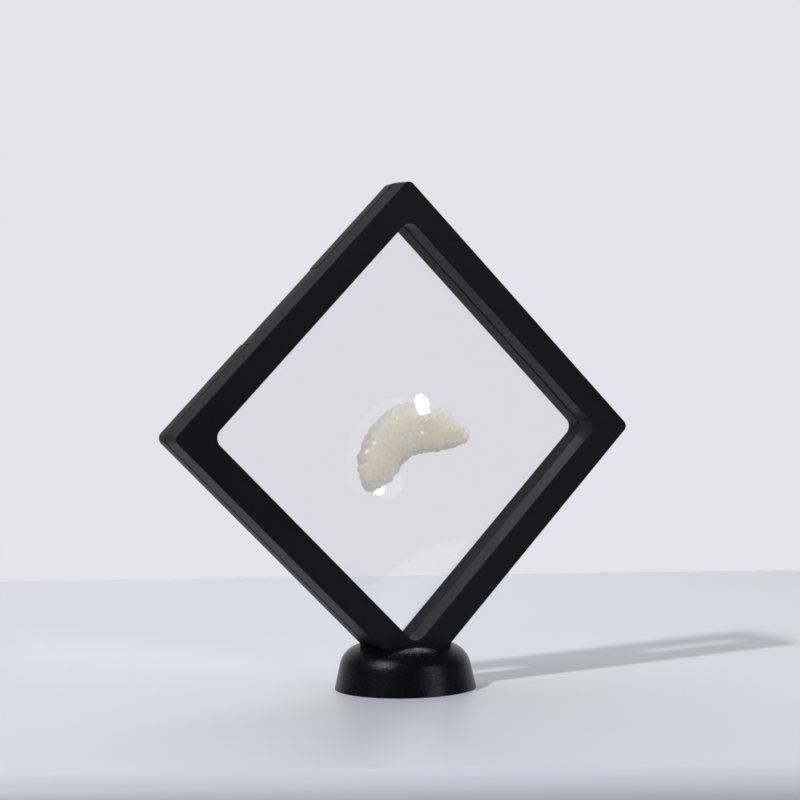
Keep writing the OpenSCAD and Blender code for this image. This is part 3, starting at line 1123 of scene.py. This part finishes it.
@dataclass
class Studio:
    """Pale table top, pale surroundings and the lamps.

    Attributes:
        target: Centre of the frame, which the lamps shine at.
        yaw: Turn of the table, so that its far edge runs across the view.
        far_edge: Distance from the object to the table's far edge.
        near_edge: Distance to its near edge.
        reach: Distance to its ends.
        edge_r: Radius of its edges.
        edge_step: Degrees between the faces of its rounded edges.
        backdrop: Colour of the backdrop behind the object.
        room: Colour of the unlit room round it.
        fade: Cosines of the angle off the view between which the room gives way to the backdrop.
        table: Colour of the table top.
        mottle_mm: Width of a patch of the table's sheen.
        sheen: Least and greatest roughness of these patches.
    """

    target: Vector
    yaw: float = math.radians(26.26)
    far_edge: float = 0.345
    near_edge: float = 0.135
    reach: float = 1.4
    edge_r: float = 0.008
    edge_step: int = 10
    backdrop: str = "#e4e3e9"
    room: str = "#5e5e65"
    fade: tuple[float, float] = (0.3, 0.9)
    table: str = "#e6e6ea"
    mottle_mm: float = 60.0
    sheen: tuple[float, float] = (0.37, 0.45)

    def surroundings(self) -> None:
        """Lights the scene from a pale backdrop, which fades to the unlit room at the sides."""
        world = bpy.data.worlds.new("pale_backdrop")
        world.use_nodes = True
        tree = world.node_tree
        tree.nodes.clear()
        towards = add_node(tree, "ShaderNodeTexCoord").outputs["Generated"]
        depth = add_node(
            tree, "ShaderNodeVectorMath", {"operation": "DOT_PRODUCT"},
            {0: towards, 1: (math.sin(self.yaw), math.cos(self.yaw), 0.0)},
        ).outputs["Value"]
        lit = add_node(
            tree, "ShaderNodeMapRange", {"interpolation_type": "SMOOTHSTEP"},
            {"Value": depth, "From Min": self.fade[0], "From Max": self.fade[1]},
        ).outputs["Result"]
        colour = add_node(
            tree, "ShaderNodeMix", {"data_type": "RGBA"},
            {SHARE: lit, COLOUR_A: linear(self.room), COLOUR_B: linear(self.backdrop)},
        ).outputs[MIXED_COLOUR]
        glow = add_node(tree, "ShaderNodeBackground", inputs={"Color": colour, "Strength": 1.0})
        add_node(tree, "ShaderNodeOutputWorld", inputs={"Surface": glow.outputs["Background"]})
        bpy.context.scene.world = world
        bpy.context.scene.view_settings.view_transform = "Standard"

    def table_top(self) -> bpy.types.Object:
        """Lays the table top.

        Returns:
            The table top.
        """
        material = empty_material("pale_laminate_satin")
        tree = material.node_tree
        place = add_node(tree, "ShaderNodeTexCoord").outputs["Object"]
        mottle = add_node(
            tree, "ShaderNodeTexNoise",
            inputs={"Vector": place, "Scale": 1 / (self.mottle_mm * MM), "Detail": 4.0},
        ).outputs["Fac"]
        roughness = add_node(
            tree, "ShaderNodeMapRange",
            inputs={"Value": mottle, "To Min": self.sheen[0], "To Max": self.sheen[1]},
        ).outputs["Result"]
        shader = add_node(
            tree, "ShaderNodeBsdfPrincipled",
            inputs={"Base Color": linear(self.table), "Roughness": roughness},
        )
        add_node(tree, "ShaderNodeOutputMaterial", inputs={"Surface": shader.outputs["BSDF"]})
        bend = [math.radians(a) for a in range(0, 91, self.edge_step)]
        round_off = [(self.edge_r * (1 - math.cos(a)), self.edge_r * (math.sin(a) - 1)) for a in bend]
        round_off.append((2 * self.edge_r, 0.0))
        profile = [(-self.near_edge + inset, z) for inset, z in round_off]
        profile += [(self.far_edge - inset, z) for inset, z in reversed(round_off)]
        points = np.array([(x, y, z) for y, z in profile for x in (-self.reach, self.reach)])
        faces = [(2 * i, 2 * i + 1, 2 * i + 3, 2 * i + 2) for i in range(len(profile) - 1)]
        top = mesh_piece("table_top", points, faces)
        top.matrix_world = Matrix.Rotation(-self.yaw, 4, "Z")
        dress(top, material)
        return top

    def lamps(self) -> None:
        """Puts up the key at the left, a weak fill that glints in the films, and two soft lamps."""
        key = Lamp(
            "key_lamp", Vector((-0.70, -0.20, 0.685)),
            distance=3.0, size=0.19, power=53.0, colour="#f7f8ff",
        )
        fill = Lamp(
            "fill_lamp", Vector((0.430, -0.851, 0.302)),
            distance=1.5, size=0.25, power=3.4, colour="#f5f6ff",
        )
        ceiling = Lamp(
            "ceiling_lamp", Vector((0.0, 0.0, 1.0)),
            distance=1.5, size=1.6, power=2.6, colour="#f7f8ff", mirrored=False,
        )
        backdrop = Lamp(
            "backdrop_lamp", Vector((0.18, 0.62, 0.76)),
            distance=0.62, size=0.6, power=1.2, colour="#f9faff", mirrored=False,
        )
        for lamp in (key, fill, ceiling, backdrop):
            lamp.build(self.target)

    def build(self) -> None:
        """Sets the stage and the light."""
        self.surroundings()
        self.table_top()
        self.lamps()
        LOG.info("table, backdrop and lamps are up")


def main() -> None:
    """Builds and dresses the display frame, then its stage, light and camera."""
    logging.basicConfig(level=logging.INFO, format="%(name)s: %(message)s")
    low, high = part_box("front_frame")
    middle = (low + high) / 2
    seam_y = (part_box("front_film")[1].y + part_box("rear_film")[0].y) / 2
    on_seam = Vector((middle.x, seam_y, middle.z))

    PhotoCamera(target=middle).build()

    matte, plain = FRAME_ABS.build(), RING_PP.build()
    HalfFrame("front_frame", "front_film_ring").dress(matte, plain)
    HalfFrame("rear_frame", "rear_film_ring").dress(matte, plain)
    dress(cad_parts["hinge_pin"], DrawnSteel().build())
    dress(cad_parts["stand"], STAND_ABS.build())
    LOG.info("hinge pin and stand dressed")

    specimen = Crescent(centre=on_seam).build(QuartzDruse().build())
    clear = CastFilm().build()
    Film(Side.FRONT, "front_film", "front_frame", Body.FRONT, on_seam).build(specimen, clear)
    Film(Side.REAR, "rear_film", "rear_frame", Body.REAR, on_seam).build(specimen, clear)

    Studio(target=middle).build()


if __name__ == "__main__":
    main()
